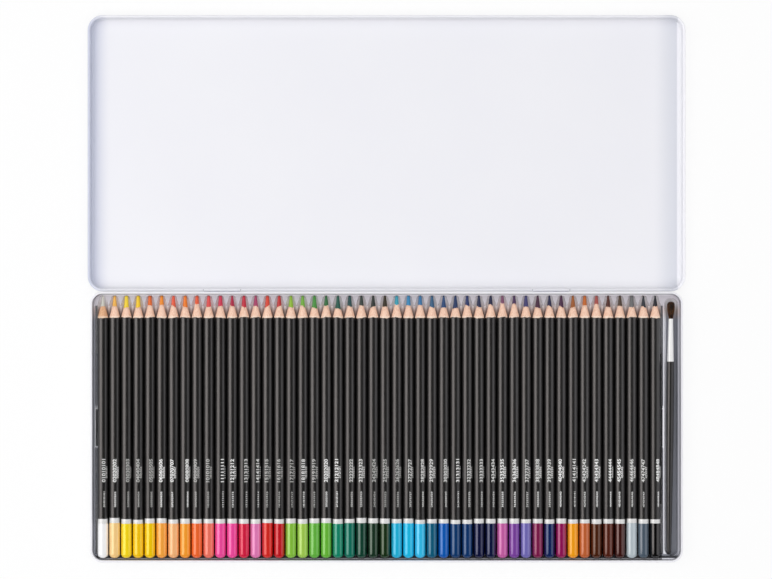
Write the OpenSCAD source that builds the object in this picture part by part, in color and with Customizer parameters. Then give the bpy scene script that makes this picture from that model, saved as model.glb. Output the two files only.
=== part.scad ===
// A hinged flat tin for 48 round colored pencils and one brush, shown open.
// The lid lies flat behind the base, inside up. The pencils and the brush lie
// in a formed plastic tray, and each of them lifts straight out of its trough.
// X runs along the row of pencils, Y from the pencils' ends to their points,
// and Z is up. The origin is the centre of the base pan's underside.

/* [Pencils] */
// Diameter of a pencil
pencil_d = 7.2; // [6.6:0.1:8]
// Length from the rounded end to the point
pencil_len = 175.4; // [165:0.1:185]
// Length of the sharpened end
cone_len = 14.6; // [12:0.1:20]
// Length of the wood's part of it
wood_cone_len = 7.5; // [5.5:0.1:9]
// Diameter of the lead
lead_d = 3.2; // [2.6:0.1:3.8]
// Diameter of the blunt point
point_d = 1.9; // [0.6:0.1:2.2]
// Height of the rounded end
dome_h = 2.2; // [1.6:0.1:2.8]
// Wood left between the rounded end and the lead
lead_stop = 1.2; // [0.8:0.1:3]
// Length of the end dipped in the lead's color
dip_len = 23.4; // [14:0.1:30]
// Length of the silver ring beside it
ring_len = 3.4; // [1:0.1:6]
// Gap that the glue fills between two glued pieces
glue_gap = 0.02; // [0.01:0.01:0.04]

/* [Brush] */
// Length of hair outside the ferrule
hair_len = 11.6; // [9:0.1:14]
// Widest diameter of the hair
hair_d = 5.4; // [4.6:0.1:6]
// Share of the hair's length over which it swells
hair_swell = 0.74; // [0.5:0.01:0.85]
// Length of hair held inside the ferrule
hair_root = 9; // [6:0.5:12]
// Length of the ferrule
ferrule_len = 28.6; // [25:0.1:34]
// Outer diameter of the ferrule at the hair
ferrule_front_d = 3; // [2.8:0.1:3.6]
// Outer diameter of the ferrule at the handle
ferrule_back_d = 4.5; // [4.2:0.1:4.8]
// Thickness of the ferrule's metal
ferrule_t = 0.2; // [0.15:0.05:0.35]
// Length of the handle behind the ferrule
handle_len = 128.8; // [120:0.1:134]
// Length of the handle's tenon inside the ferrule
tenon_len = 11; // [8:0.5:14]
// Radius of the two grooves crimped into the ferrule
crimp_r = 0.45; // [0.3:0.05:0.6]
// Distance from the handle to the first groove
crimp_at = 3.5; // [2:0.1:5]
// Distance between the two grooves
crimp_spacing = 2.5; // [1.5:0.1:4]
// Diameter of the handle at the ferrule
handle_front_d = 4.7; // [4.6:0.05:4.9]
// Diameter of the handle's belly
handle_belly_d = 5.1; // [5:0.05:5.4]
// Distance from the ferrule to the belly
handle_belly_at = 25.5; // [18:0.5:35]
// Diameter of the handle just before its rounded end
handle_end_d = 3.1; // [2.4:0.1:3.8]
// Angle at which the brush lies in its pocket
brush_skew = 0.5; // [0:0.05:0.6]
// Distance of the brush's middle behind the tray's middle
brush_back = 0.65; // [0:0.05:1.2]

/* [Tray] */
// Thickness of the formed plastic
tray_t = 0.5; // [0.4:0.05:0.7]
// Clearance between a pencil and its trough
trough_fit = 0.25; // [0.2:0.01:0.4]
// Clearance at each end of a pencil
end_fit = 0.2; // [0.2:0.05:0.8]
// Thickness of the web between two troughs at their rim
web = 0.15; // [0.1:0.01:0.5]
// Radius of a trough's closed end at the pencils' rounded ends
trough_end_r = 3; // [2.6:0.1:3.2]
// Plastic beyond the end of a trough
end_wall = 0.7; // [0.55:0.05:1.5]
// Depth of the tall ridges' tops under the tray's rim
ridge_drop = 0.9; // [0.6:0.1:1.3]
// Depth of the low ridges' tops under the tray's rim
low_drop = 2; // [1.7:0.1:2.4]
// Radius of a trough's end at the point
trough_tip_r = 2.4; // [2:0.05:3]
// Length of the full-height land between those ends, over which they narrow
point_land = 7; // [5:0.1:8]
// Length of the zone of low ridges at the points
point_zone = 31.9; // [24:0.1:38]
// Length of the zone of low ridges at the rounded ends
end_zone = 33.2; // [26:0.1:40]
// Width of the finger channel
channel_w = 25; // [20:0.5:32]
// Distance from the tray's middle to the channel's middle
channel_off = -0.5; // [-4:0.5:4]
// Depth of the finger channel under the troughs
finger_room = 3; // [2:0.1:4]
// Run of the sloping walls beside the troughs
slope_run = 1; // [0.6:0.1:1.4]
// Flat step between the troughs' side and those walls
ledge = 0.2; // [0.1:0.05:0.5]
// Margin from the tray's left edge to the first trough
left_margin = 2.7; // [2.4:0.05:5]
// Land between the last trough and the brush pocket
pocket_land = 2.3; // [1.7:0.05:4]
// Width of the brush pocket at its rim
pocket_w = 9.1; // [8.9:0.1:11]
// Width of the brush pocket at its floor
pocket_floor_w = 7.3; // [7:0.1:8]
// Depth of the brush pocket
pocket_depth = 4.2; // [3.6:0.1:5]
// Margin from the brush pocket to the tray's right edge
right_margin = 1.4; // [1.3:0.1:4]
// Margin from the brush pocket's ends to the tray's edge
pocket_margin = 2.6; // [2:0.1:4]
// Clearance between the brush's hair and its pocket's floor
brush_fit = 0.25; // [0.2:0.05:0.4]
// Distance from the brush pocket's middle to the brush's middle
brush_off = -0.7; // [-0.9:0.1:0.2]
// Least clearance at each end of the brush
brush_end_fit = 0.8; // [0.4:0.1:1.4]
// Inner radius of the tray's outer edge
shoulder_r = 0.15; // [0.1:0.05:1.2]
// Height of the tray's skirt over the pan's floor
skirt_lift = 0.35; // [0.3:0.05:2]

/* [Tin] */
// Thickness of the tinplate
sheet = 0.3; // [0.2:0.05:0.4]
// Radius of the base's outer corners
corner_r = 8; // [7.6:0.1:12]
// Outer radius of the base's rolled rim
bead_r = 0.68; // [0.5:0.02:0.8]
// Inner radius between the base's floor and walls
base_fillet = 0.9; // [0.6:0.05:1]
// Inner radius between the lid's panel and walls
lid_fillet = 2; // [1.2:0.1:3]
// Height of the base's rim over the pencils
rim_over = 0.9; // [0.3:0.1:3]
// Clearance between the tray and the base's walls
tray_fit = 0.24; // [0.2:0.02:0.8]
// Clearance between the base's rim and the closed lid's walls
lid_fit = 0.3; // [0.25:0.05:0.6]
// Clearance between the base's rim and the closed lid's panel
lid_rest = 0.15; // [0.1:0.01:0.3]
// Angle left open in the rolled rims
curl_gap = 55; // [40:1:75]

/* [Hinge] */
// Diameter of the hinge wire
pin_d = 1.2; // [1:0.05:1.4]
// Running clearance round the wire
pin_fit = 0.05; // [0.03:0.01:0.09]
// Length of wire held by the lid at each side of a lug
pin_grip = 10; // [6:0.5:16]
// Width of a hinge lug
lug_w = 24.6; // [18:0.1:30]
// Distance between the two lugs' middles
lug_spacing = 220; // [180:1:250]
// Side clearance between a lug and the lid
lug_side_fit = 0.4; // [0.2:0.05:0.8]
// Height of the lug's plate on the base's rear wall
lug_plate_h = 3.6; // [2.5:0.1:4.2]
// Depth of the lid's notch past the wire's axis
notch_depth = 1.25; // [1.1:0.05:1.6]

/* [Hidden] */
$fn = 64;
PENCIL_COUNT = 48;

function two_digits(n) = str(n < 10 ? "0" : "", n);
function pencil_name(n) = str("pencil_", two_digits(n));

// Colors of the pencils' dipped ends, from the first pencil to the last.
pencil_colors = [
    "#F4F4F2", "#F8BE7E", "#FAE042", "#F8D21E", "#F9C70C", "#F9A236",
    "#F5924F", "#F28A22", "#EE6A35", "#EE6155", "#EC3E9A", "#E83A93",
    "#D3224E", "#D364B4", "#E23A2C", "#D42A30", "#A6CC3A", "#8CC63C",
    "#5DB04A", "#3A9A4B", "#128A6A", "#0F7F74", "#1A5A48", "#2A4A42",
    "#3A4426", "#28B2D8", "#2BA2DC", "#2A92D2", "#1E7A96", "#2264B0",
    "#234C96", "#203C84", "#1C2C5C", "#20264E", "#B05AB4", "#7A4AA6",
    "#5A52AE", "#6E3A74", "#2C2C66", "#9A2C78", "#F0962C", "#C4622C",
    "#5A3222", "#7A3226", "#4A2A2A", "#A8AAAC", "#56626A", "#1C1C1E"
];
wood_color = "#E3BC9C";
ring_color = "#E4E4E2";
lacquer_color = "#1E1D1C";
enamel_color = "#F2F3F5";
plastic_color = "#8E8F96";
steel_color = "#B9BCC0";
hair_color = "#4A2A1C";

// Pencils and their troughs
pencil_r = pencil_d / 2;
lead_r = lead_d / 2;
point_r = point_d / 2;
point_h = 0.6 * point_r;
cone_start = pencil_len - cone_len;
lead_start = cone_start + wood_cone_len;
trough_r = pencil_r + trough_fit;
pitch = 2 * trough_r + web;
trough_len = pencil_len + 2 * end_fit;

// Heights, counted from the pan's underside
channel_z = sheet + tray_t;
land_z = channel_z + finger_room + trough_r;
ridge_z = land_z - ridge_drop;
low_z = land_z - low_drop;
rim_z = land_z + pencil_r + rim_over;
bead_z = rim_z - bead_r;
pocket_floor_z = land_z - pocket_depth;
brush_z = pocket_floor_z + brush_fit + hair_d / 2;

// Room that the lid's rounded edge needs over the base's rim
lid_head = max(lid_rest, lid_fillet - bead_r
    - sqrt(max(0, pow(lid_fillet - bead_r - lid_rest, 2) - pow(lid_fillet - bead_r - lid_fit, 2))));
closed_h = rim_z + lid_head + sheet;

// Plan sizes
brush_len = handle_len + ferrule_len + hair_len;
field_w = PENCIL_COUNT * pitch - web;
tray_w = left_margin + field_w + pocket_land + pocket_w + right_margin;
tray_d = max(trough_len + 2 * end_wall, brush_len + 2 * (brush_back + brush_end_fit + pocket_margin));
base_w = tray_w + 2 * tray_fit + 4 * bead_r;
base_d = tray_d + 2 * tray_fit + 4 * bead_r;
corner_x = base_w / 2 - corner_r;
corner_y = base_d / 2 - corner_r;
wall_u = corner_r - 2 * bead_r;
tray_u = wall_u - tray_fit;
field_left = -tray_w / 2 + left_margin;
field_right = field_left + field_w;
pocket_x = field_right + pocket_land + pocket_w / 2;
pocket_len = tray_d - 2 * pocket_margin;

// Zones of the tray, from the points to the rounded ends
point_shoulder = trough_len / 2 - point_land;
low_front = point_shoulder - point_zone;
end_shoulder = -trough_len / 2 + trough_end_r;
low_back = end_shoulder + end_zone;
channel_front = channel_off + channel_w / 2;
channel_back = channel_off - channel_w / 2;

// Hinge
bore_r = pin_d / 2 + pin_fit;
curl_r = bore_r + sheet;
hinge_y = base_d / 2 + lid_fit + curl_r;
hinge_z = closed_h / 2;
lid_y = 2 * hinge_y;
pin_len = lug_w + 2 * (lug_side_fit + pin_grip);

// Places
function pencil_x(n) = field_left + trough_r + (n - 1) * pitch;
brush_x = pocket_x + brush_off;

// A wall profile carried round the rounded rectangle that all the tin's pieces
// share: its x counts outwards from the corners' centres, and its y is height.
module around_corners() {
    for (side = [0, 180]) {
        rotate([0, 0, side]) translate([corner_x, 0, 0])
            rotate([90, 0, 0]) linear_extrude(2 * corner_y, center = true) children();
        rotate([0, 0, side + 90]) translate([corner_y, 0, 0])
            rotate([90, 0, 0]) linear_extrude(2 * corner_x, center = true) children();
    }
    for (k = [0:3])
        translate([(k == 0 || k == 3 ? 1 : -1) * corner_x, (k < 2 ? 1 : -1) * corner_y, 0])
            rotate([0, 0, 90 * k]) rotate_extrude(angle = 90) children();
}

// A quarter of a ring in the quadrant that starts at the given angle
module quarter_ring(inner_r, thickness, start) {
    outer_r = inner_r + thickness;
    rotate(start) intersection() {
        difference() {
            circle(outer_r);
            circle(inner_r);
        }
        square(outer_r);
    }
}

// A ring of sheet with a piece left open between two angles
module open_ring(inner_r, from, to) {
    outer_r = inner_r + sheet;
    far = 4 * outer_r;
    middle = (from + to) / 2;
    difference() {
        circle(outer_r);
        circle(inner_r);
        polygon([[0, 0], far * [cos(from), sin(from)],
                 far * [cos(middle), sin(middle)], far * [cos(to), sin(to)]]);
    }
}

// Floor strip, rounded edge, wall and outward rim of a pressed pan. The rim's
// centre is at height rim_at.
module pan_profile(inner_u, fillet, rim_at, rim_r) {
    square([inner_u - fillet, sheet]);
    translate([inner_u - fillet, sheet + fillet]) quarter_ring(fillet, sheet, -90);
    translate([inner_u, sheet + fillet]) square([sheet, rim_at - sheet - fillet]);
    translate([inner_u + rim_r, rim_at]) open_ring(rim_r - sheet, 180, 180 + curl_gap);
}

module pan(inner_u, fillet, rim_at, rim_r) {
    around_corners() pan_profile(inner_u, fillet, rim_at, rim_r);
    translate([-corner_x, -corner_y, 0]) cube([2 * corner_x, 2 * corner_y, sheet]);
}

module base_pan() {
    color(enamel_color) pan(wall_u, base_fillet, bead_z, bead_r);
}

// The lid lies open, with its panel down. A notch in its rolled rim lets each
// lug reach the wire.
module lid_shell() {
    notch_w = lug_w + 2 * lug_side_fit;
    color(enamel_color) difference() {
        translate([0, lid_y, 0]) pan(corner_r + lid_fit, lid_fillet, hinge_z, curl_r);
        for (side = [-1, 1])
            translate([side * lug_spacing / 2 - notch_w / 2, hinge_y - 2 * curl_r, hinge_z - notch_depth])
                cube([notch_w, 4 * curl_r, notch_depth + 2 * curl_r]);
    }
}

// A plate on the base's rear wall, a strap under the wire and a loop round it
module lug_profile() {
    wall_y = base_d / 2 - 2 * bead_r + sheet;
    strap_z = hinge_z - curl_r;
    bend_r = sheet;
    bend_y = wall_y + bend_r + sheet;
    bend_z = strap_z - bend_r;
    translate([wall_y, bend_z - lug_plate_h]) square([sheet, lug_plate_h]);
    translate([bend_y, bend_z]) quarter_ring(bend_r, sheet, 90);
    translate([bend_y, strap_z]) square([hinge_y - bend_y, sheet]);
    translate([hinge_y, hinge_z]) open_ring(bore_r, 270 - curl_gap, 270);
}

module hinge_lug(side) {
    color(steel_color) translate([side * lug_spacing / 2 - lug_w / 2, 0, 0])
        rotate([90, 0, 90]) linear_extrude(lug_w) lug_profile();
}

module hinge_pin(side) {
    color(steel_color) translate([side * lug_spacing / 2 - pin_len / 2, hinge_y, hinge_z])
        rotate([0, 90, 0]) cylinder(h = pin_len, d = pin_d);
}

// The space of one trough: a round channel that narrows to a ball end at the
// point, with a rounded end behind
module trough(n) {
    straight = trough_len - trough_end_r - point_land;
    tip = trough_len - trough_end_r - trough_tip_r;
    translate([pencil_x(n), -trough_len / 2 + trough_end_r, land_z])
        rotate([-90, 0, 0]) rotate_extrude() {
            polygon([[0, 0], [trough_r, 0], [trough_r, straight], [trough_tip_r, tip], [0, tip]]);
            translate([0, tip]) intersection() {
                circle(trough_tip_r);
                square(trough_tip_r);
            }
            translate([0, -trough_end_r]) square([trough_r - trough_end_r, trough_end_r]);
            translate([trough_r - trough_end_r, 0]) intersection() {
                circle(trough_end_r);
                translate([0, -trough_end_r]) square(trough_end_r);
            }
        }
}

// The open space over one stretch of the troughs, down to a given height, with
// sloping walls at its left and right. Grown by the plastic's thickness, it is
// the outside of that stretch.
module field(back, front, bottom, grow = 0) {
    low = bottom - grow;
    left = field_left - ledge - grow;
    right = field_right + ledge + grow;
    top = land_z + (grow > 0 ? -tray_t / 2 : 1);
    translate([0, front + grow, 0]) rotate([90, 0, 0])
        linear_extrude(front - back + 2 * grow)
            polygon([[left - slope_run, top], [left - slope_run, land_z - tray_t], [left, low],
                     [right, low], [right + slope_run, land_z - tray_t], [right + slope_run, top]]);
}

// The brush's pocket, with sloping sides and rounded ends
module brush_pocket(grow = 0) {
    low = pocket_floor_z - grow;
    top = land_z + (grow > 0 ? -tray_t / 2 : 1);
    half_top = pocket_w / 2 + grow;
    half_low = pocket_floor_w / 2 + grow;
    half_len = pocket_len / 2 + grow;
    translate([pocket_x, 0, 0]) intersection() {
        translate([0, half_len, 0]) rotate([90, 0, 0]) linear_extrude(2 * half_len)
            polygon([[-half_top, top], [-half_top, land_z - tray_t], [-half_low, low],
                     [half_low, low], [half_top, land_z - tray_t], [half_top, top]]);
        translate([0, 0, low]) linear_extrude(top - low) {
            translate([-half_top, half_top - half_len]) square([2 * half_top, 2 * (half_len - half_top)]);
            for (end = [-1, 1])
                translate([0, end * (half_len - half_top)]) circle(half_top);
        }
    }
}

// Rim, rounded shoulder and skirt of the tray
module tray_rim_profile() {
    outer_r = shoulder_r + tray_t;
    skirt_z = sheet + skirt_lift;
    translate([0, land_z - tray_t]) square([tray_u - outer_r, tray_t]);
    translate([tray_u - outer_r, land_z - outer_r]) quarter_ring(shoulder_r, tray_t, 0);
    translate([tray_u - tray_t, skirt_z]) square([tray_t, land_z - outer_r - skirt_z]);
}

// The scalloped plastic under the troughs, cut back at the tray's corners
module trough_walls() {
    outer_r = trough_r + tray_t;
    top = land_z - tray_t / 2;
    half_len = trough_len / 2 + tray_t;
    intersection() {
        translate([0, half_len, 0]) rotate([90, 0, 0]) linear_extrude(2 * half_len) {
            intersection() {
                for (n = [1:PENCIL_COUNT]) translate([pencil_x(n), land_z]) circle(outer_r);
                translate([-tray_w / 2, sheet]) square([tray_w, top - sheet]);
            }
            translate([field_left, low_z - tray_t]) square([field_w, top - low_z + tray_t]);
        }
        translate([0, 0, sheet]) linear_extrude(land_z - sheet) {
            edge = tray_u - tray_t / 2;
            square([2 * (corner_x + edge), 2 * corner_y], center = true);
            square([2 * corner_x, 2 * (corner_y + edge)], center = true);
            for (x = [-corner_x, corner_x], y = [-corner_y, corner_y]) translate([x, y]) circle(edge);
        }
    }
}

module tray() {
    color(plastic_color) difference() {
        union() {
            around_corners() tray_rim_profile();
            translate([-corner_x, -corner_y, land_z - tray_t])
                cube([2 * corner_x, 2 * corner_y, tray_t]);
            trough_walls();
            field(channel_back, channel_front, channel_z, tray_t);
            brush_pocket(tray_t);
        }
        for (n = [1:PENCIL_COUNT]) trough(n);
        field(low_front, point_shoulder, low_z);
        field(channel_front, low_front, ridge_z);
        field(channel_back, channel_front, channel_z);
        field(low_back, channel_back, ridge_z);
        field(end_shoulder, low_back, low_z);
        brush_pocket();
    }
}

// A wooden casing glued round its lead. The casing is painted in bands.
module pencil(n) {
    translate([pencil_x(n), -pencil_len / 2, land_z]) rotate([-90, 0, 0]) {
        color(pencil_colors[n - 1]) casing_band(0, dip_len);
        color(ring_color) casing_band(dip_len, dip_len + ring_len);
        color(lacquer_color) casing_band(dip_len + ring_len, cone_start);
        color(wood_color) casing_band(cone_start, pencil_len);
        color(pencil_colors[n - 1]) rotate_extrude() lead_profile();
    }
}

module casing_band(from, to) {
    rotate_extrude() intersection() {
        casing_profile();
        translate([0, from]) square([pencil_d, to - from]);
    }
}

// Half section of the wooden casing, from the rounded end at 0 upwards
module casing_profile() {
    dome_r = (pencil_r * pencil_r + dome_h * dome_h) / (2 * dome_h);
    lead_bore_r = lead_r + glue_gap;
    lead_bore_end = cone_start + wood_cone_len * (pencil_r - lead_bore_r) / (pencil_r - lead_r);
    difference() {
        union() {
            intersection() {
                translate([0, dome_r]) circle(dome_r);
                square([2 * pencil_r, dome_h]);
            }
            polygon([[0, dome_h], [pencil_r, dome_h], [pencil_r, cone_start],
                     [lead_bore_r, lead_bore_end], [0, lead_bore_end]]);
        }
        translate([0, lead_stop - glue_gap]) square([lead_bore_r, pencil_len]);
    }
}

module lead_profile() {
    polygon([[0, lead_stop], [lead_r, lead_stop], [lead_r, lead_start],
             [point_r, pencil_len - point_h], [0.87 * point_r, pencil_len - 0.4 * point_h],
             [0.6 * point_r, pencil_len - 0.1 * point_h], [0.3 * point_r, pencil_len],
             [0, pencil_len]]);
}

// The brush's pieces share an axis that runs from the handle's end upwards.
module place_brush() {
    translate([brush_x, 0, brush_z]) rotate([0, 0, -brush_skew])
        translate([0, -brush_len / 2 - brush_back, 0]) rotate([-90, 0, 0]) children();
}

// Radius of the handle at a distance from its rounded end
function handle_r(at) =
    let (behind = handle_len - handle_belly_at,
         round_h = handle_end_d / 2,
         belly = handle_belly_d / 2,
         cap = at < round_h ? sqrt(1 - pow(1 - at / round_h, 2)) : 1)
    at < behind
        ? cap * (belly - (belly - handle_end_d / 2) * pow(1 - at / behind, 1.6))
        : belly - (belly - handle_front_d / 2) * pow((at - behind) / handle_belly_at, 2);

module brush_handle() {
    cap_steps = [for (k = [1:6]) handle_end_d / 2 * (1 - cos(15 * k))];
    body_steps = [for (k = [1:24]) handle_end_d / 2 + (handle_len - handle_end_d / 2) * k / 24];
    tenon_r = ferrule_inner(handle_len + tenon_len) - glue_gap;
    color(lacquer_color) place_brush() rotate_extrude()
        polygon(concat([[0, 0]],
                       [for (at = concat(cap_steps, body_steps)) [handle_r(at), at]],
                       [[tenon_r, handle_len], [tenon_r, handle_len + tenon_len],
                        [0, handle_len + tenon_len]]));
}

// Radius inside the ferrule at a height on the brush's axis
function ferrule_inner(at) =
    ferrule_back_d / 2 - ferrule_t
    - (ferrule_back_d - ferrule_front_d) / 2 * (at - handle_len) / ferrule_len;

// A tapered tube with two crimped rings that grip the handle
module brush_ferrule() {
    top = handle_len + ferrule_len;
    color(steel_color) place_brush() difference() {
        rotate_extrude()
            polygon([[ferrule_inner(handle_len), handle_len], [ferrule_back_d / 2, handle_len],
                     [ferrule_front_d / 2, top], [ferrule_inner(top), top]]);
        for (at = [crimp_at, crimp_at + crimp_spacing])
            translate([0, 0, handle_len + at]) rotate_extrude()
                translate([ferrule_inner(handle_len + at) + ferrule_t + crimp_r - ferrule_t / 2, 0])
                    circle(crimp_r);
    }
}

// The hair swells from the ferrule to a soft round tip
module brush_hair() {
    mouth = handle_len + ferrule_len;
    mouth_r = ferrule_inner(mouth) - glue_gap;
    swell = hair_swell * hair_len;
    widest = hair_d / 2;
    steps = 12;
    color(hair_color) place_brush() rotate_extrude()
        polygon(concat(
            [[0, mouth - hair_root], [mouth_r, mouth - hair_root]],
            [for (k = [0:steps])
                [mouth_r + (widest - mouth_r) * (k / steps + sin(90 * k / steps)) / 2,
                 mouth + swell * k / steps]],
            [for (k = [1:steps])
                [widest * pow(cos(90 * k / steps), 2 / 3),
                 mouth + swell + (hair_len - swell) * pow(sin(90 * k / steps), 2 / 3)]]
        ));
}

base_pan();
lid_shell();
tray();
hinge_lug(-1);  // hinge_lug_left
hinge_lug(1);  // hinge_lug_right
hinge_pin(-1);  // hinge_pin_left
hinge_pin(1);  // hinge_pin_right
brush_handle();
brush_ferrule();
brush_hair();
for (n = [1:PENCIL_COUNT])
    pencil(n);
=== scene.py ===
"""Colored pencil tin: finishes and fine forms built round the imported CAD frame. Metres, +Z up."""

import math
import random

import bmesh
import bpy
import numpy as np
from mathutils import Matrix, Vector


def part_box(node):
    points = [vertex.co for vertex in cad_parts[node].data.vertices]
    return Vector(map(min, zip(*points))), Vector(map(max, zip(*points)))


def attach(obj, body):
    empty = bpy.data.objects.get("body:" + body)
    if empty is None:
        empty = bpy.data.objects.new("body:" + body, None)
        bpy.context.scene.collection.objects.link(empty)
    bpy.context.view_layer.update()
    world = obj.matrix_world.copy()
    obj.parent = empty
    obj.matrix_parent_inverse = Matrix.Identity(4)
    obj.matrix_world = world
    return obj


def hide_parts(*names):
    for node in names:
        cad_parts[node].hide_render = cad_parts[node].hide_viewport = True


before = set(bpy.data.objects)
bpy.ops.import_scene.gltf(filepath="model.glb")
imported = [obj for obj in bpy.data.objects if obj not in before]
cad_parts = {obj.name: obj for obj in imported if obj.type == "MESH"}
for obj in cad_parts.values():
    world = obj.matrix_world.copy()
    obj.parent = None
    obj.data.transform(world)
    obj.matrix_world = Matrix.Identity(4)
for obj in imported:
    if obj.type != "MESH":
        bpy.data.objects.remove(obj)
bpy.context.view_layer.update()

MM = 0.001
PENCILS = 48
IMAGE_W, IMAGE_H = 772, 579

# The photograph looks straight down. These place the picture over the tin.
PIXELS_PER_METRE = 1500.0  # at the height of the base's rim
MIDDLE_X_PX, MIDDLE_Y_PX = 386.6, 427.2  # where the base's middle lies in the picture
CAMERA_HEIGHT = 2.0

# Pencils, measured from the rounded end
DIP_LEN = 23.4 * MM
RING_LEN = 3.0 * MM
DOME_LEN = 2.7 * MM
CONE_LEN = 14.6 * MM
WOOD_LEN = 7.5 * MM
LEAD_R = 1.6 * MM
POINT_HEIGHT = 0.6  # of a blunt point, as a share of its radius
LACQUER_T = 0.04 * MM
RING_T = 0.015 * MM
DIP_T = 0.02 * MM
INK_T = 0.015 * MM
SIDES = 32

# Print on the barrel: how often the pencil's number is repeated, the size of its digits, where it starts,
# its length and how far it is turned clockwise from the top (mm and radians)
MARKS = [(4, 3.3, 51.0, 15.4, 0.01), (3, 2.1, 53.6, 7.7, 0.6), (4, 1.6, 34.3, 10.4, 0.12)]
ROLLED = (8, 11, 13, 14, 28, 31, 33, 34, 48)  # pencils that show their print further to the right
ROLLED_BY = 0.42
FRESH = (2, 6, 7, 8, 11, 12, 20, 21, 31, 35, 36, 40, 43, 44, 45, 48)  # pencils with the whitest print
FAINT = (3, 4, 5, 9, 10, 15, 16, 17, 19, 24, 25, 26)

# The brush's tuft
BRUSH_SKEW = math.radians(0.5)
HAIR_LEN = 11.6 * MM
HAIR_SWELL = 0.74  # where the tuft is widest, as a share of its length
HAIR_MOUTH_R = 1.3 * MM
CORE_LEN = HAIR_LEN * 0.93
CORE_SHARE = 0.86  # of the tuft's radius
HAIRS = 420
HAIR_SIDES, HAIR_STEPS = 3, 8

# Each pencil from left to right: its name, its dipped end, its lead, how far the wood ends past its
# usual place, how much the lead reaches down at its right, and the radius of its point (mm)
PALETTE = [
    ("white", "FFFFFF", "C9C8BE", 0.0, 0.0, 0.4),
    ("apricot", "FFD18A", "EDB24E", 0.0, 0.0, 0.75),
    ("lemon", "FFDC16", "F3D12A", -0.8, 0.0, 1.05),
    ("yellow", "FFC80C", "F5C81E", -0.7, 0.0, 1.1),
    ("gold", "FACB00", "E0661F", 0.6, 0.0, 1.05),
    ("tangerine", "FFA63E", "EE8B1A", 1.0, 0.4, 0.95),
    ("salmon", "FFB97C", "E85A3C", 0.2, 0.9, 0.8),
    ("orange", "FF9F2C", "EC7A16", -0.4, 0.3, 0.95),
    ("flame", "F4682C", "E4572E", 1.6, 0.0, 1.0),
    ("coral", "F27460", "DD4A4A", -0.3, -0.2, 0.9),
    ("hot_pink", "F44A9F", "CF2C4E", 0.1, 0.0, 1.05),
    ("magenta", "F4489E", "B0123F", 0.3, 0.8, 0.6),
    ("crimson", "D6183F", "C3203A", -0.4, 0.3, 0.95),
    ("orchid", "E47CB8", "A83A66", 0.1, 0.5, 0.7),
    ("vermilion", "D8241C", "D8402A", -0.1, -0.8, 1.0),
    ("red", "C4101C", "C02A2C", -0.1, -0.8, 0.9),
    ("lime", "84C03A", "8DB92E", -0.5, 0.0, 0.8),
    ("leaf", "A2CE50", "6FAE36", 0.1, 0.8, 0.8),
    ("grass", "62B43E", "45933C", -1.0, 0.3, 0.9),
    ("green", "66B836", "2E6E3E", 0.5, 0.0, 0.7),
    ("emerald", "0A8466", "1C5A4C", -1.6, 0.5, 0.75),
    ("teal", "066C58", "1A4A4C", 0.0, 0.3, 0.85),
    ("pine", "0A3C2C", "33403C", 0.6, 0.0, 0.75),
    ("forest", "14301F", "2B3330", -0.3, -0.3, 0.7),
    ("olive", "142E12", "38301F", -0.1, 0.0, 0.7),
    ("turquoise", "1CB4DC", "2B9DB4", 1.2, 0.0, 0.9),
    ("sky", "14BCE8", "2C86B8", 0.6, 0.0, 0.95),
    ("azure", "30BEEC", "2D74A8", 0.9, 0.0, 0.9),
    ("petrol", "025878", "2C5C82", -0.5, 0.5, 0.75),
    ("blue", "0056B2", "1E4678", -0.9, 0.1, 0.55),
    ("cobalt", "043468", "1C3664", -1.2, -0.1, 0.7),
    ("ultramarine", "043268", "22346A", 0.5, 0.6, 0.8),
    ("navy", "060C36", "1E2A50", -0.3, 0.3, 0.7),
    ("ink", "06103A", "20264A", 1.0, 0.5, 0.7),
    ("lilac", "C85EA6", "7E4A6A", 2.0, 0.4, 0.8),
    ("violet", "783E9C", "4A2C58", 1.6, 0.3, 0.7),
    ("lavender", "7068B4", "3E3C72", -0.3, 0.0, 0.9),
    ("plum", "7C1448", "4A2440", -0.9, 0.3, 0.65),
    ("indigo", "081E56", "24264C", 0.1, 0.4, 0.6),
    ("berry", "900852", "4A2446", -0.3, 0.5, 0.7),
    ("ochre", "F8A012", "A0581E", -0.7, -0.7, 0.7),
    ("rust", "C06030", "C0641E", 0.8, 0.0, 0.9),
    ("umber", "461C06", "A84A44", 1.4, 0.0, 0.85),
    ("chestnut", "501C0E", "54261C", -0.3, 0.1, 0.6),
    ("sepia", "38100C", "4E3C30", 0.3, 0.0, 0.75),
    ("silver", "B8C4CA", "6A6A6C", -0.4, 0.0, 0.95),
    ("slate", "4A5866", "2E343C", -0.4, 0.4, 0.45),
    ("black", "020202", "22242C", 0.1, -0.4, 0.45),
]


# ---------------------------------------------------------------- colors and nodes

def linear(hex_color):
    """The linear RGBA of a color written as it looks on a screen."""
    parts = [int(hex_color[k:k + 2], 16) / 255 for k in (0, 2, 4)]
    return [c / 12.92 if c <= 0.04045 else ((c + 0.055) / 1.055) ** 2.4 for c in parts] + [1.0]


def scaled(color, factor):
    """A linear color made lighter or darker, with its alpha left at 1."""
    return [min(1.0, c * factor) for c in color[:3]] + [1.0]


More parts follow.
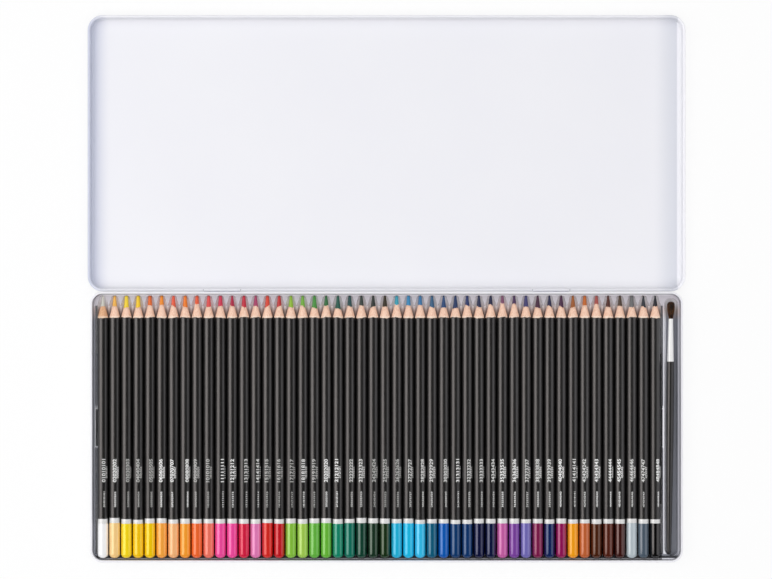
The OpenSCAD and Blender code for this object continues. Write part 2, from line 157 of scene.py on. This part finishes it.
class Nodes:
    """Short calls for building one node tree."""

    def __init__(self, tree):
        self.tree = tree
        tree.nodes.clear()

    def add(self, kind, sockets=None, **settings):
        node = self.tree.nodes.new(kind)
        for name, value in settings.items():
            setattr(node, name, value)
        for name, value in (sockets or {}).items():
            if isinstance(value, bpy.types.NodeSocket):
                self.tree.links.new(value, node.inputs[name])
            else:
                node.inputs[name].default_value = value
        return node

    def math(self, operation, a, b):
        return self.add("ShaderNodeMath", {0: a, 1: b}, operation=operation).outputs[0]

    def noise(self, vector, scale, detail=2.0, roughness=0.5):
        sockets = {"Vector": vector, "Scale": scale, "Detail": detail, "Roughness": roughness}
        return self.add("ShaderNodeTexNoise", sockets).outputs["Fac"]

    def stretched(self, vector, stretch):
        return self.add("ShaderNodeMapping", {"Vector": vector, "Scale": stretch}).outputs[0]

    def ramp(self, fac, stops):
        node = self.add("ShaderNodeValToRGB", {"Fac": fac})
        elements = node.color_ramp.elements
        while len(elements) < len(stops):
            elements.new(0.5)
        for element, (position, color) in zip(elements, stops):
            element.position = position
            element.color = color
        return node.outputs["Color"]

    def spread(self, fac, low, high):
        """fac, from 0 to 1, moved to low to high."""
        sockets = {"Value": fac, "To Min": low, "To Max": high}
        return self.add("ShaderNodeMapRange", sockets).outputs["Result"]

    def between(self, value, start, end):
        """A smooth step from 0 to 1 while value goes from start to end."""
        sockets = {"Value": value, "From Min": start, "From Max": end}
        return self.add("ShaderNodeMapRange", sockets, interpolation_type="SMOOTHSTEP").outputs["Result"]

    def band(self, value, start, end, soft=0.3 * MM):
        """1 while value lies from start to end, and 0 outside."""
        rise = self.between(value, start - soft, start)
        fall = self.between(value, end + soft, end)
        return self.math("MULTIPLY", rise, fall)

    def axes(self, place):
        """The x, y and z of a place."""
        return self.add("ShaderNodeSeparateXYZ", {0: place}).outputs

    def mix(self, fac, a, b):
        node = self.add("ShaderNodeMix", data_type="RGBA")
        for name, value in (("Factor", fac), ("A", a), ("B", b)):
            socket = [s for s in node.inputs if s.name == name and s.enabled][0]
            if isinstance(value, bpy.types.NodeSocket):
                self.tree.links.new(value, socket)
            else:
                socket.default_value = value
        return [s for s in node.outputs if s.enabled][0]

    def bump(self, height, distance):
        return self.add("ShaderNodeBump", {"Height": height, "Distance": distance}).outputs["Normal"]


def material(name, build):
    """A material whose Principled sockets are what build(nodes, place) returns."""
    made = bpy.data.materials.new(name)
    made.use_nodes = True
    nodes = Nodes(made.node_tree)
    place = nodes.add("ShaderNodeTexCoord").outputs["Object"]
    shader = nodes.add("ShaderNodeBsdfPrincipled", build(nodes, place))
    nodes.add("ShaderNodeOutputMaterial", {"Surface": shader.outputs[0]})
    return made


def enamel(nodes, place):
    """White stoved enamel: a faint orange peel and slight unevenness of gloss."""
    peel = nodes.noise(place, 900.0)
    cloud = nodes.noise(place, 14.0, 3.0)
    return {
        "Base Color": nodes.mix(cloud, linear("EEEEF4"), linear("F2F2F6")),
        "Roughness": nodes.spread(cloud, 0.3, 0.42),
        "Normal": nodes.bump(peel, 0.00002),
        "Specular IOR Level": 0.3,
    }


def lid_enamel(nodes, place):
    """The same enamel, greyer towards the lid's two side walls with painted shade, and whitest on its right wall
    with a painted highlight.
    """
    made = enamel(nodes, place)
    across = nodes.axes(place)["X"]
    low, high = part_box("lid_shell")
    # painted shade towards the left wall, and towards the right wall a little way in
    left = nodes.between(across, low.x + 15 * MM, low.x)
    right = nodes.between(across, high.x - 22 * MM, high.x - 6 * MM)
    # a painted highlight on the right wall
    wall = nodes.between(across, high.x - 5.6 * MM, high.x - 4.6 * MM)
    tone = nodes.mix(left, made["Base Color"], linear("CFD3E4"))
    tone = nodes.mix(right, tone, linear("DBDDE5"))
    made["Base Color"] = nodes.mix(wall, tone, linear("F9F9FE"))
    return made


def tray_plastic(nodes, place):
    """Thin glossy grey plastic, with painted light at the troughs' narrow ends, a warm painted reflection of the
    wood beside the sharpened cones, painted highlights on some walls and edges, and painted shade between and under
    the barrels."""
    waves = nodes.noise(place, 60.0, 2.0)
    mottle = nodes.noise(place, 9.0, 3.0)
    x, y, z = nodes.axes(place)
    low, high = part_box("tray")
    left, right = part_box("pencil_01")[0].x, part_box(f"pencil_{PENCILS}")[1].x
    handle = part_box("brush_handle")[0].x

    # painted shade between and under the barrels, and a painted shadow behind the front lip
    field = nodes.band(x, left, right + 0.9 * MM)
    dark = nodes.math("MULTIPLY", field, nodes.between(z, high.z + 1.6 * MM, high.z - 1 * MM))
    front = nodes.band(y, low.y + 1.2 * MM, low.y + 2.5 * MM)

    # painted highlights on walls: the brush pocket's left one, and the finger channel's ends
    inside = nodes.band(y, low.y + 4 * MM, high.y - 4 * MM)
    bright = nodes.math("MULTIPLY", inside, nodes.band(x, handle - 1.7 * MM, handle - 0.2 * MM, 0.6 * MM))
    channel = nodes.band(y, -14 * MM, 14 * MM)
    for start, end in ((left - 1.6 * MM, left - 0.3 * MM), (right + 1 * MM, right + 2 * MM)):
        slope = nodes.math("MULTIPLY", channel, nodes.band(x, start, end, 0.15 * MM))
        bright = nodes.math("ADD", bright, slope)

    grey = nodes.mix(mottle, linear("83858F"), linear("9597A1"))
    # a painted highlight along the tray's right edge
    grey = nodes.mix(nodes.between(x, high.x - 1.9 * MM, high.x - 1.2 * MM), grey, linear("B4B4BC"))
    # painted light on the front lip
    grey = nodes.mix(nodes.between(y, low.y + 1.1 * MM, low.y + 0.7 * MM), grey, linear("F2F2F8"))
    # the painted shadow, the painted shade and the painted highlights from the masks above
    grey = nodes.mix(nodes.math("MULTIPLY", front, 0.85), grey, linear("1E1E20"))
    grey = nodes.mix(dark, grey, linear("070708"))
    grey = nodes.mix(bright, grey, linear("F2F2F8"))

    # painted light at the narrow ends, palest on the deep trough walls, with a warm painted reflection of the wood
    # and painted light on the far lip
    ends = nodes.between(y, high.y - 18.5 * MM, high.y - 5 * MM)
    wood_glow = nodes.band(y, high.y - 14 * MM, high.y - 12 * MM, 5 * MM)
    trough_wall_light = nodes.between(z, high.z - 0.3 * MM, high.z - 1.5 * MM)
    pale = nodes.mix(mottle, linear("BEB9C1"), linear("CEC9D0"))
    pale = nodes.mix(trough_wall_light, pale, linear("F0ECF0"))
    pale = nodes.mix(nodes.math("MULTIPLY", wood_glow, 0.7), pale, linear("D0AC9C"))
    pale = nodes.mix(nodes.between(y, high.y - 0.9 * MM, high.y - 0.4 * MM), pale, linear("F6F4F8"))
    return {
        "Base Color": nodes.mix(ends, grey, pale),
        "Roughness": nodes.spread(mottle, 0.16, 0.26),
        "Normal": nodes.bump(waves, 0.0001),
        "Specular IOR Level": 0.8,
    }


def bright_steel(nodes, place):
    """Drawn hinge wire."""
    grain = nodes.noise(nodes.stretched(place, (40.0, 900.0, 900.0)), 1.0)
    return {
        "Base Color": linear("C4C7CB"),
        "Metallic": 1.0,
        "Roughness": nodes.spread(grain, 0.22, 0.4),
        "Normal": nodes.bump(grain, 0.00001),
    }


def lacquer(nodes, place):
    """Black lacquer over wood: fine ripples along the barrel and a few dull specks."""
    ripple = nodes.noise(nodes.stretched(place, (1.0, 0.12, 1.0)), 700.0)
    specks = nodes.noise(place, 1800.0, 1.0)
    return {
        "Base Color": nodes.mix(specks, linear("040404"), linear("0A0909")),
        "Roughness": nodes.spread(ripple, 0.42, 0.5),
        "Normal": nodes.bump(ripple, 0.00001),
        "Specular IOR Level": 1.0,
        "Coat Weight": 1.0,
        "Coat Roughness": 0.24,
        "Coat IOR": 1.6,
    }


def cut_wood(tones):
    """Sharpened wood: grain along the pencil, the blade's marks round the cone and a painted highlight at its edge
    by the lacquer. tones are the grain's dark, middle and light color."""
    def build(nodes, place):
        grain = nodes.noise(nodes.stretched(place, (1.0, 0.05, 1.0)), 2600.0, 3.0, 0.6)
        pores = nodes.noise(nodes.stretched(place, (1.0, 0.16, 1.0)), 5200.0, 2.0, 0.7)
        blade = nodes.noise(nodes.stretched(place, (0.1, 1.0, 0.1)), 1500.0)
        tone = nodes.ramp(grain, list(zip((0.32, 0.5, 0.68), map(linear, tones))))
        dark = nodes.math("LESS_THAN", pores, 0.31)
        tone = nodes.mix(nodes.math("MULTIPLY", dark, 0.35), tone, scaled(linear(tones[0]), 0.6))
        cone_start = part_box("pencil_01")[1].y - CONE_LEN
        along = nodes.axes(place)["Y"]
        # a painted highlight along the wood's edge by the lacquer
        rim = nodes.between(along, cone_start + 1.3 * MM, cone_start + 0.6 * MM)
        return {
            "Base Color": nodes.mix(nodes.math("MULTIPLY", rim, 0.4), tone, linear("FFF0E0")),
            "Roughness": nodes.spread(grain, 0.55, 0.75),
            "Normal": nodes.bump(nodes.math("ADD", blade, nodes.math("MULTIPLY", pores, 0.5)), 0.00005),
            "Specular IOR Level": 0.3,
        }
    return build


def silver_ring(nodes, place):
    """Silver paint, with painted shade low on the barrel between the pencils."""
    fine = nodes.noise(place, 2500.0)
    height = nodes.axes(place)["Z"]
    low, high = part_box("pencil_01")
    middle, radius = (low.z + high.z) / 2, (high.z - low.z) / 2
    # painted shade low on the ring
    painted_shade = nodes.between(height, middle + 0.72 * radius, middle + 0.1 * radius)
    return {
        "Base Color": nodes.mix(painted_shade, nodes.mix(fine, linear("E2E2E1"), linear("EEEEED")), linear("5A5857")),
        "Metallic": 0.2,
        "Roughness": nodes.spread(fine, 0.3, 0.42),
        "Normal": nodes.bump(fine, 0.000008),
    }


def dip_paint(hex_color):
    """Thick glossy paint. Its own color tints its gloss, most of all where it is bright."""
    color = linear(hex_color)
    parts = [int(hex_color[k:k + 2], 16) / 255 for k in (0, 2, 4)]
    bright = max(parts)
    tinted = 0.3 + 0.56 * bright
    gloss = [1 - tinted * (1 - part / bright) for part in parts] + [1.0]

    def build(nodes, place):
        sag = nodes.noise(nodes.stretched(place, (1.0, 0.3, 1.0)), 260.0)
        return {
            "Base Color": nodes.mix(sag, scaled(color, 0.99), scaled(color, 1.08)),
            "Roughness": nodes.spread(sag, 0.1, 0.15),
            "Normal": nodes.bump(sag, 0.00002),
            "IOR": 1.7,
            "Specular IOR Level": 0.7 + 0.27 * bright,
            "Specular Tint": gloss,
            "Coat Weight": 0.25 + 0.7 * bright,
            "Coat Roughness": 0.05,
            "Coat IOR": 1.6,
        }
    return build


def lead_core(color):
    """Waxy pigment, cut by the sharpener's blade, with painted shade at the tip."""
    def build(nodes, place):
        blade = nodes.noise(nodes.stretched(place, (0.2, 1.0, 0.2)), 2200.0)
        crumbs = nodes.noise(place, 3600.0, 2.0, 0.7)
        pigment = nodes.mix(crumbs, scaled(color, 0.8), scaled(color, 1.16))
        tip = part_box("pencil_01")[1].y
        along = nodes.axes(place)["Y"]
        # painted shade at the tip
        painted_shade = nodes.between(along, tip - 1.3 * MM, tip - 0.3 * MM)
        return {
            "Base Color": nodes.mix(nodes.math("MULTIPLY", painted_shade, 0.5), pigment, scaled(color, 0.3)),
            "Roughness": nodes.spread(blade, 0.38, 0.6),
            "Normal": nodes.bump(nodes.math("ADD", blade, crumbs), 0.00004),
            "Specular IOR Level": 0.5,
        }
    return build


def white_metal(nodes, place):
    """The ferrule's pale metal, drawn along its length."""
    fine = nodes.noise(nodes.stretched(place, (1.0, 0.1, 1.0)), 2500.0)
    return {
        "Base Color": nodes.mix(fine, linear("F4F4F3"), linear("FCFCFB")),
        "Metallic": 0.15,
        "Roughness": nodes.spread(fine, 0.28, 0.4),
        "Normal": nodes.bump(fine, 0.000008),
    }


def sable(nodes, place):
    """Dark brown hair with streaks of orange-brown along it."""
    streaks = nodes.noise(nodes.stretched(place, (1.0, 0.06, 1.0)), 2400.0, 2.0)
    tones = [linear("170B06"), linear("3A1E0C"), linear("8F5A1C")]
    return {
        "Base Color": nodes.ramp(streaks, list(zip((0.38, 0.52, 0.66), tones))),
        "Roughness": 0.42,
        "Normal": nodes.bump(streaks, 0.00003),
    }


def printed(dull, bright):
    """White print with a little wear, from dull to bright."""
    def build(nodes, place):
        wear = nodes.noise(place, 3000.0, 2.0)
        return {
            "Base Color": nodes.mix(wear, linear(dull), linear(bright)),
            "Roughness": nodes.spread(wear, 0.35, 0.5),
        }
    return build


# ---------------------------------------------------------------- mesh helpers

def new_piece(name, verts, faces, materials, indices=None, smooth=True):
    """A new object in the scene. indices gives each face's place in materials."""
    mesh = bpy.data.meshes.new(name)
    mesh.from_pydata([tuple(v) for v in verts], [], faces)
    mesh.update()
    for m in materials:
        mesh.materials.append(m)
    if indices is not None:
        mesh.polygons.foreach_set("material_index", indices)
    mesh.polygons.foreach_set("use_smooth", [smooth] * len(mesh.polygons))
    piece = bpy.data.objects.new(name, mesh)
    bpy.context.scene.collection.objects.link(piece)
    return piece


def ring_grid(rings, close_start=True, close_end=True):
    """Faces between rings of points, with the first and last ring closed to a point or left open.
    rings is an array of (rings, sides, 3). Returns the points, the faces and each face's band."""
    count, sides = rings.shape[:2]
    verts = [tuple(p) for ring in rings for p in ring]
    faces, bands = [], []
    for k in range(count - 1):
        for s in range(sides):
            t = (s + 1) % sides
            faces.append((k * sides + s, k * sides + t, (k + 1) * sides + t, (k + 1) * sides + s))
            bands.append(k)
    if close_start:
        verts.append(tuple(rings[0].mean(0)))
        faces += [(len(verts) - 1, (s + 1) % sides, s) for s in range(sides)]
        bands += [0] * sides
    if close_end:
        verts.append(tuple(rings[-1].mean(0)))
        last = (count - 1) * sides
        faces += [(len(verts) - 1, last + s, last + (s + 1) % sides) for s in range(sides)]
        bands += [count - 2] * sides
    return verts, faces, bands


def turned(stations, sides, axis_at, direction=(0.0, 1.0, 0.0), across=(1.0, 0.0, 0.0)):
    """Rings of points round an axis. Each station is (radius, distance along the axis), and each of
    the two may be an array over the sides."""
    along, side = Vector(direction).normalized(), Vector(across).normalized()
    up = side.cross(along)
    angles = 2 * np.pi * np.arange(sides) / sides
    circle = np.outer(np.cos(angles), side) + np.outer(np.sin(angles), up)
    rings = []
    for radius, distance in stations:
        radius = np.broadcast_to(np.asarray(radius, float), (sides,))
        distance = np.broadcast_to(np.asarray(distance, float), (sides,))
        rings.append(np.array(axis_at) + circle * radius[:, None] + np.outer(distance, along))
    return np.array(rings)


# ---------------------------------------------------------------- pencils

def waves(rng, angles, parts):
    """A sum of cosines round the pencil, with random phases. Each part is (cycles, height)."""
    return sum(height * np.cos(cycles * angles + rng.uniform(0, 2 * math.pi)) for cycles, height in parts)


class Pencil:
    """One pencil's measures, with its own small unevenness. Distances run along it from its rounded end."""

    def __init__(self, number):
        self.number = number
        self.node = f"pencil_{number:02d}"
        self.name, self.dip_hex, self.lead_hex, wood_shift, slant, point = PALETTE[number - 1]
        low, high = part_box(self.node)
        self.radius = (high.x - low.x) / 2
        self.wood_r = self.radius - LACQUER_T
        self.length = high.y - low.y
        self.axis_at = ((low.x + high.x) / 2, low.y, (low.z + high.z) / 2)
        self.point_r = point * MM
        self.tip = self.length - POINT_HEIGHT * self.point_r

        rng = random.Random(number)
        angles = 2 * np.pi * np.arange(SIDES) / SIDES
        self.dip_end = DIP_LEN + rng.uniform(-0.35, 0.35) * MM
        self.ring_end = self.dip_end + RING_LEN + rng.uniform(-0.4, 0.4) * MM
        self.cut = self.length - CONE_LEN + waves(rng, angles, [
            (1, rng.uniform(0.1, 0.45) * MM), (3, 0.14 * MM), (5, 0.1 * MM), (8, 0.08 * MM)])
        self.wood_end = (
            self.length - CONE_LEN + WOOD_LEN + wood_shift * MM - slant * MM * np.cos(angles)
            + waves(rng, angles, [(2, 0.22 * MM), (3, 0.15 * MM), (7, 0.12 * MM)]))
        self.roll = ROLLED_BY if number in ROLLED else rng.uniform(-0.3, 0.3)

    def surface(self, along):
        """Radius of the sharpened end: a cone of wood, then a blunt lead."""
        cone_start = self.length - CONE_LEN
        lead_start = cone_start + WOOD_LEN
        return np.interp(along, [cone_start, lead_start, self.tip], [self.wood_r, LEAD_R, self.point_r])

    def casing_stations(self):
        """(radius, distance, finish) from the middle of the rounded end to where the lead comes out."""
        radius, dip_end, ring_end, cut, wood_end = self.radius, self.dip_end, self.ring_end, self.cut, self.wood_end
        dome_steps, wood_steps = 8, 6
        for k in range(1, dome_steps + 1):
            angle = math.pi / 2 * k / dome_steps
            yield (radius + DIP_T) * math.sin(angle) ** 0.95, DOME_LEN * (1 - math.cos(angle)), "dip"
        yield radius + DIP_T, dip_end - 0.3 * MM, "dip"
        yield radius + 0.005 * MM, dip_end, "dip"
        yield radius + RING_T, dip_end + 0.05 * MM, "ring"
        yield radius + RING_T, ring_end - 0.05 * MM, "ring"
        yield radius, ring_end, "ring"
        yield radius, ring_end + 1 * MM, "lacquer"
        yield radius, (ring_end + cut) / 2, "lacquer"
        yield radius, cut - 0.8 * MM, "lacquer"
        yield radius - 0.01 * MM, cut - 0.06 * MM, "lacquer"
        yield np.minimum(self.surface(cut), self.wood_r), cut, "lacquer"
        for k in range(1, wood_steps + 1):
            along = cut + (wood_end - cut) * k / wood_steps
            yield self.surface(along) + (0.01 * MM if k == wood_steps else 0), along, "wood"
        yield self.surface(wood_end) - 0.15 * MM, wood_end - 0.02 * MM, "wood"

    def lead_stations(self):
        """(radius, distance) from just inside the wood to the rounded point."""
        cone_steps, point_steps = 7, 5
        yield self.surface(self.wood_end) - 0.12 * MM, self.wood_end - 0.25 * MM
        for k in range(cone_steps + 1):
            along = self.wood_end + (self.tip - self.wood_end) * k / cone_steps
            yield self.surface(along), along
        for k in range(1, point_steps):
            angle = math.pi / 2 * k / point_steps
            height = POINT_HEIGHT * self.point_r * math.sin(angle)
            yield self.point_r * math.cos(angle) ** 0.6, self.tip + height


def casing(pencil, shared):
    """Dipped end, ring, lacquered barrel and cut wood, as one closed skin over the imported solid."""
    stations = list(pencil.casing_stations())
    finishes = ["dip", "ring", "lacquer", "wood"]
    rings = turned([(r, along) for r, along, _ in stations], SIDES, pencil.axis_at)
    verts, faces, bands = ring_grid(rings, close_end=False)
    indices = [finishes.index(stations[min(band + 1, len(stations) - 1)][2]) for band in bands]
    dip = material(f"dip_{pencil.name}", dip_paint(pencil.dip_hex))
    wood = shared["tan" if pencil.number == 1 else "wood"]
    body = new_piece(f"{pencil.node}_casing", verts, faces, [dip, shared["ring"], shared["lacquer"], wood], indices)
    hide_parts(pencil.node)
    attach(body, pencil.node)


def lead(pencil):
    rings = turned(pencil.lead_stations(), SIDES, pencil.axis_at)
    verts, faces, _ = ring_grid(rings, close_start=False)
    made = material(f"lead_{pencil.name}", lead_core(linear(pencil.lead_hex)))
    core = new_piece(f"{pencil.node}_lead", verts, faces, [made])
    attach(core, pencil.node)


def ink_of(number):
    """Some pencils are printed fresher than others."""
    return "fresh_ink" if number in FRESH else "faint_ink" if number in FAINT else "ink"


def flat_text(name, text, size):
    """The faces of a line of text that lies in the plane z = 0."""
    curve = bpy.data.curves.new(name, "FONT")
    curve.body = text
    curve.size = size
    curve.offset = 0.02 * size
    curve.resolution_u = 3
    holder = bpy.data.objects.new(name, curve)
    flat = bpy.data.meshes.new_from_object(holder)
    made = bmesh.new()
    made.from_mesh(flat)
    bpy.data.objects.remove(holder)
    bpy.data.meshes.remove(flat)
    bpy.data.curves.remove(curve)
    return made


def print_number(pencil, ink):
    """The pencil's number, repeated along the barrel in each place that MARKS gives."""
    name = f"{pencil.node}_number"
    middle_x, end_y, middle_z = pencil.axis_at
    joined = bmesh.new()
    for repeats, size, start, length, turn in MARKS:
        size, start, length = size * MM, start * MM, length * MM
        mark = flat_text(name, f"{pencil.number:02d}" * repeats, size)
        xs = [v.co.x for v in mark.verts]
        middle = size * 0.36
        for k in range(-3, 4):  # cuts that let the digits bend round the barrel
            parts = mark.verts[:] + mark.edges[:] + mark.faces[:]
            at = (0, middle + k * size * 0.11, 0)
            bmesh.ops.bisect_plane(mark, geom=parts, plane_co=at, plane_no=(0, 1, 0))
        stretch = length / (max(xs) - min(xs))
        for v in mark.verts:
            along = start + (v.co.x - min(xs)) * stretch
            angle = pencil.roll + turn - (v.co.y - middle) / pencil.radius
            r = pencil.radius + INK_T
            v.co = (middle_x + r * math.sin(angle), end_y + along, middle_z + r * math.cos(angle))
        moved = bpy.data.meshes.new(name)
        mark.to_mesh(moved)
        mark.free()
        joined.from_mesh(moved)
        bpy.data.meshes.remove(moved)
    mesh = bpy.data.meshes.new(name)
    joined.to_mesh(mesh)
    joined.free()
    mesh.materials.append(ink)
    piece = bpy.data.objects.new(name, mesh)
    bpy.context.scene.collection.objects.link(piece)
    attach(piece, pencil.node)


def pencils():
    shared = {
        "ring": material("silver_ring", silver_ring),
        "lacquer": material("pencil_lacquer", lacquer),
        "wood": material("cut_wood", cut_wood(("E6B496", "F6CDB5", "FDDFCB"))),
        "tan": material("tan_wood", cut_wood(("C88E64", "E2AE84", "ECC2A0"))),
        "faint_ink": material("printed_faint", printed("A4A4A1", "C4C4C1")),
        "ink": material("printed_white", printed("CDCDCA", "EAEAE8")),
        "fresh_ink": material("printed_fresh", printed("EDEDEB", "FAFAF9")),
    }
    for number in range(1, PENCILS + 1):
        pencil = Pencil(number)
        casing(pencil, shared)
        lead(pencil)
        print_number(pencil, shared[ink_of(number)])


# ---------------------------------------------------------------- tin, tray and brush

def tuft_r(along, widest):
    """The tuft's radius at a distance from the ferrule's mouth."""
    swell = HAIR_LEN * HAIR_SWELL
    u = min(along / swell, 1)
    over = max(along - swell, 0) / (HAIR_LEN - swell)
    out = (u + math.sin(math.pi / 2 * u)) / 2
    return (HAIR_MOUTH_R + (widest - HAIR_MOUTH_R) * out) * (1 - 0.08 * over * over)


def tuft_core(widest):
    """(radius, distance) of the closed core that keeps light from shining through the hairs."""
    swell = HAIR_LEN * HAIR_SWELL
    steps = 12
    for k in range(steps + 1):
        along = CORE_LEN * k / steps
        over = max(along - swell, 0) / (CORE_LEN - swell)
        yield CORE_SHARE * tuft_r(along, widest) * max(1 - over ** 3, 0.001) ** (1 / 3), along


def hair():
    """The brush's tuft: hairs that swell out of the ferrule and end in a blunt dome, round a dark core."""
    low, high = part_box("brush_hair")
    widest = (high.x - low.x) / 2
    swell = HAIR_LEN * HAIR_SWELL
    direction = Vector((math.sin(BRUSH_SKEW), math.cos(BRUSH_SKEW), 0))
    tip = Vector(((low.x + high.x) / 2, high.y, (low.z + high.z) / 2))
    tip.x += (HAIR_LEN - swell) * math.tan(BRUSH_SKEW)
    mouth = tip - direction * HAIR_LEN
    up = Vector((0, 0, 1))
    across = up.cross(direction) * -1

    verts, faces, _ = ring_grid(turned(tuft_core(widest), 16, mouth, direction, across))
    rng = random.Random(7)
    for k in range(HAIRS):
        share = math.sqrt((k + 0.5) / HAIRS)  # how far out in the tuft, on a sunflower's spiral
        turn = k * math.pi * (3 - math.sqrt(5))
        end = swell + (HAIR_LEN - swell) * (1 - share ** 3) ** (1 / 3) * rng.uniform(0.9, 1.0)
        drift = rng.uniform(-0.25, 0.25)
        thick = rng.uniform(0.07, 0.11) * MM
        rings = []
        for step in range(HAIR_STEPS):
            along = end * step / (HAIR_STEPS - 1)
            at = turn + drift * along / end
            r = tuft_r(along, widest) * share - thick
            middle = mouth + direction * along + across * (r * math.cos(at)) + up * (r * math.sin(at))
            slim = thick * (1 - 0.75 * (step / (HAIR_STEPS - 1)) ** 4)
            corners = [2 * math.pi * n / HAIR_SIDES + turn for n in range(HAIR_SIDES)]
            rings.append([middle + across * (slim * math.cos(c)) + up * (slim * math.sin(c)) for c in corners])
        more, sheets, _ = ring_grid(np.array(rings), close_start=False)
        faces += [tuple(v + len(verts) for v in face) for face in sheets]
        verts += more
    tuft = new_piece("brush_tuft", verts, faces, [material("sable", sable)])
    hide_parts("brush_hair")
    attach(tuft, "brush")


def finish_node(node, made):
    """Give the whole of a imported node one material."""
    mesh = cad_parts[node].data
    mesh.materials.clear()
    mesh.materials.append(made)
    mesh.polygons.foreach_set("material_index", [0] * len(mesh.polygons))


def dress_frame():
    """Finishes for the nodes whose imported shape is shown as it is."""
    white = material("enamel", enamel)
    for node in ("base_pan", "hinge_lug_left", "hinge_lug_right"):
        finish_node(node, white)
    finish_node("lid_shell", material("lid_enamel", lid_enamel))
    steel = material("bright_steel", bright_steel)
    for node in ("hinge_pin_left", "hinge_pin_right"):
        finish_node(node, steel)
    finish_node("brush_ferrule", material("white_metal", white_metal))
    finish_node("tray", material("tray_plastic", tray_plastic))
    finish_node("brush_handle", material("brush_lacquer", lacquer))


# ---------------------------------------------------------------- stage, light and camera

def floor():
    """A pale floor that the camera and reflections see nearly white, with the tin's shadow kept."""
    half = 3.0
    verts = [(-half, -half, 0), (half, -half, 0), (half, half, 0), (-half, half, 0)]
    made = bpy.data.materials.new("floor")
    made.use_nodes = True
    nodes = Nodes(made.node_tree)
    light_path = nodes.add("ShaderNodeLightPath").outputs
    seen = nodes.math("MAXIMUM", light_path["Is Camera Ray"], light_path["Is Glossy Ray"])
    seen = nodes.math("MAXIMUM", seen, light_path["Is Transmission Ray"])
    plain = nodes.add("ShaderNodeBsdfDiffuse", {"Color": linear("F8F8F8")})
    bright = nodes.add("ShaderNodeEmission", {"Color": (1, 1, 1, 1), "Strength": 1.0})
    share = nodes.math("MULTIPLY", seen, 0.8)  # the rest takes the shadow
    mixed = nodes.add("ShaderNodeMixShader", {0: share, 1: plain.outputs[0], 2: bright.outputs[0]})
    nodes.add("ShaderNodeOutputMaterial", {"Surface": mixed.outputs[0]})
    new_piece("floor", verts, [(0, 1, 2, 3)], [made], smooth=False)


def studio_world():
    """An even sky for matt surfaces. Gloss sees it dark overhead and pale at the horizon."""
    world = bpy.data.worlds.new("studio")
    bpy.context.scene.world = world
    world.use_nodes = True
    nodes = Nodes(world.node_tree)
    direction = nodes.add("ShaderNodeTexCoord").outputs["Generated"]
    height = nodes.axes(direction)["Z"]
    horizon = nodes.between(height, 0.35, 0.0)
    seen = nodes.mix(horizon, (0.02, 0.02, 0.02, 1), (0.5, 0.5, 0.5, 1))
    glossy = nodes.add("ShaderNodeLightPath").outputs["Is Glossy Ray"]
    sky = nodes.add("ShaderNodeBackground", {"Color": nodes.mix(glossy, (0.5, 0.5, 0.505, 1), seen)})
    nodes.add("ShaderNodeOutputWorld", {"Surface": sky.outputs[0]})


def lamp(name, kind, energy, place=(0, 0, 1), in_gloss=False, in_matt=False, **settings):
    """A lamp that faces the tin's long axis. It is seen only in gloss, or only by matt surfaces."""
    data = bpy.data.lights.new(name, kind)
    data.energy = energy
    for setting, value in settings.items():
        setattr(data, setting, value)
    holder = bpy.data.objects.new(name, data)
    holder.location = place
    holder.rotation_euler = Vector((place[0], 0, place[2])).to_track_quat("Z", "Y").to_euler()
    holder.visible_glossy = in_gloss
    holder.visible_diffuse = in_matt
    holder.visible_camera = False
    bpy.context.scene.collection.objects.link(holder)


def softbox(name, x, z, width, near, far, radiance, color):
    """A strip of light along the pencils from y = near to far, seen in gloss. The dipped ends see less."""
    lamp(name, "AREA", radiance * math.pi * width * (far - near), (x, (near + far) / 2, z), in_gloss=True,
         shape="RECTANGLE", size=far - near, size_y=width, color=color)


def lights():
    softbox("left_box", x=-1.1, z=1.04, width=1.32, near=-0.42, far=1.6, radiance=1.88, color=(1.0, 0.93, 0.905))
    softbox("right_box", x=0.62, z=0.36, width=0.5, near=-0.26, far=0.9, radiance=0.67, color=(1.0, 0.97, 1.0))
    lamp("overhead", "SUN", 1.3, in_matt=True, angle=math.radians(90))
    lamp("key", "AREA", 2.6, (-0.9, 0, 0.9), in_matt=True, shape="SQUARE", size=1.0)


def camera():
    """Looks straight down, so far that the base's rim is PIXELS_PER_METRE in the picture."""
    data = bpy.data.cameras.new("camera")
    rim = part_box("base_pan")[1].z
    data.sensor_width = 36.0
    data.lens = data.sensor_width * (CAMERA_HEIGHT - rim) * PIXELS_PER_METRE / IMAGE_W
    data.clip_start, data.clip_end = 0.1, 10.0
    eye = bpy.data.objects.new("camera", data)
    x = (IMAGE_W / 2 - MIDDLE_X_PX) / PIXELS_PER_METRE
    y = (MIDDLE_Y_PX - IMAGE_H / 2) / PIXELS_PER_METRE
    eye.location = (x, y, CAMERA_HEIGHT)
    bpy.context.scene.collection.objects.link(eye)
    bpy.context.scene.camera = eye
    bpy.context.scene.view_settings.view_transform = "Standard"


camera()
studio_world()
lights()
floor()
dress_frame()
pencils()
hair()
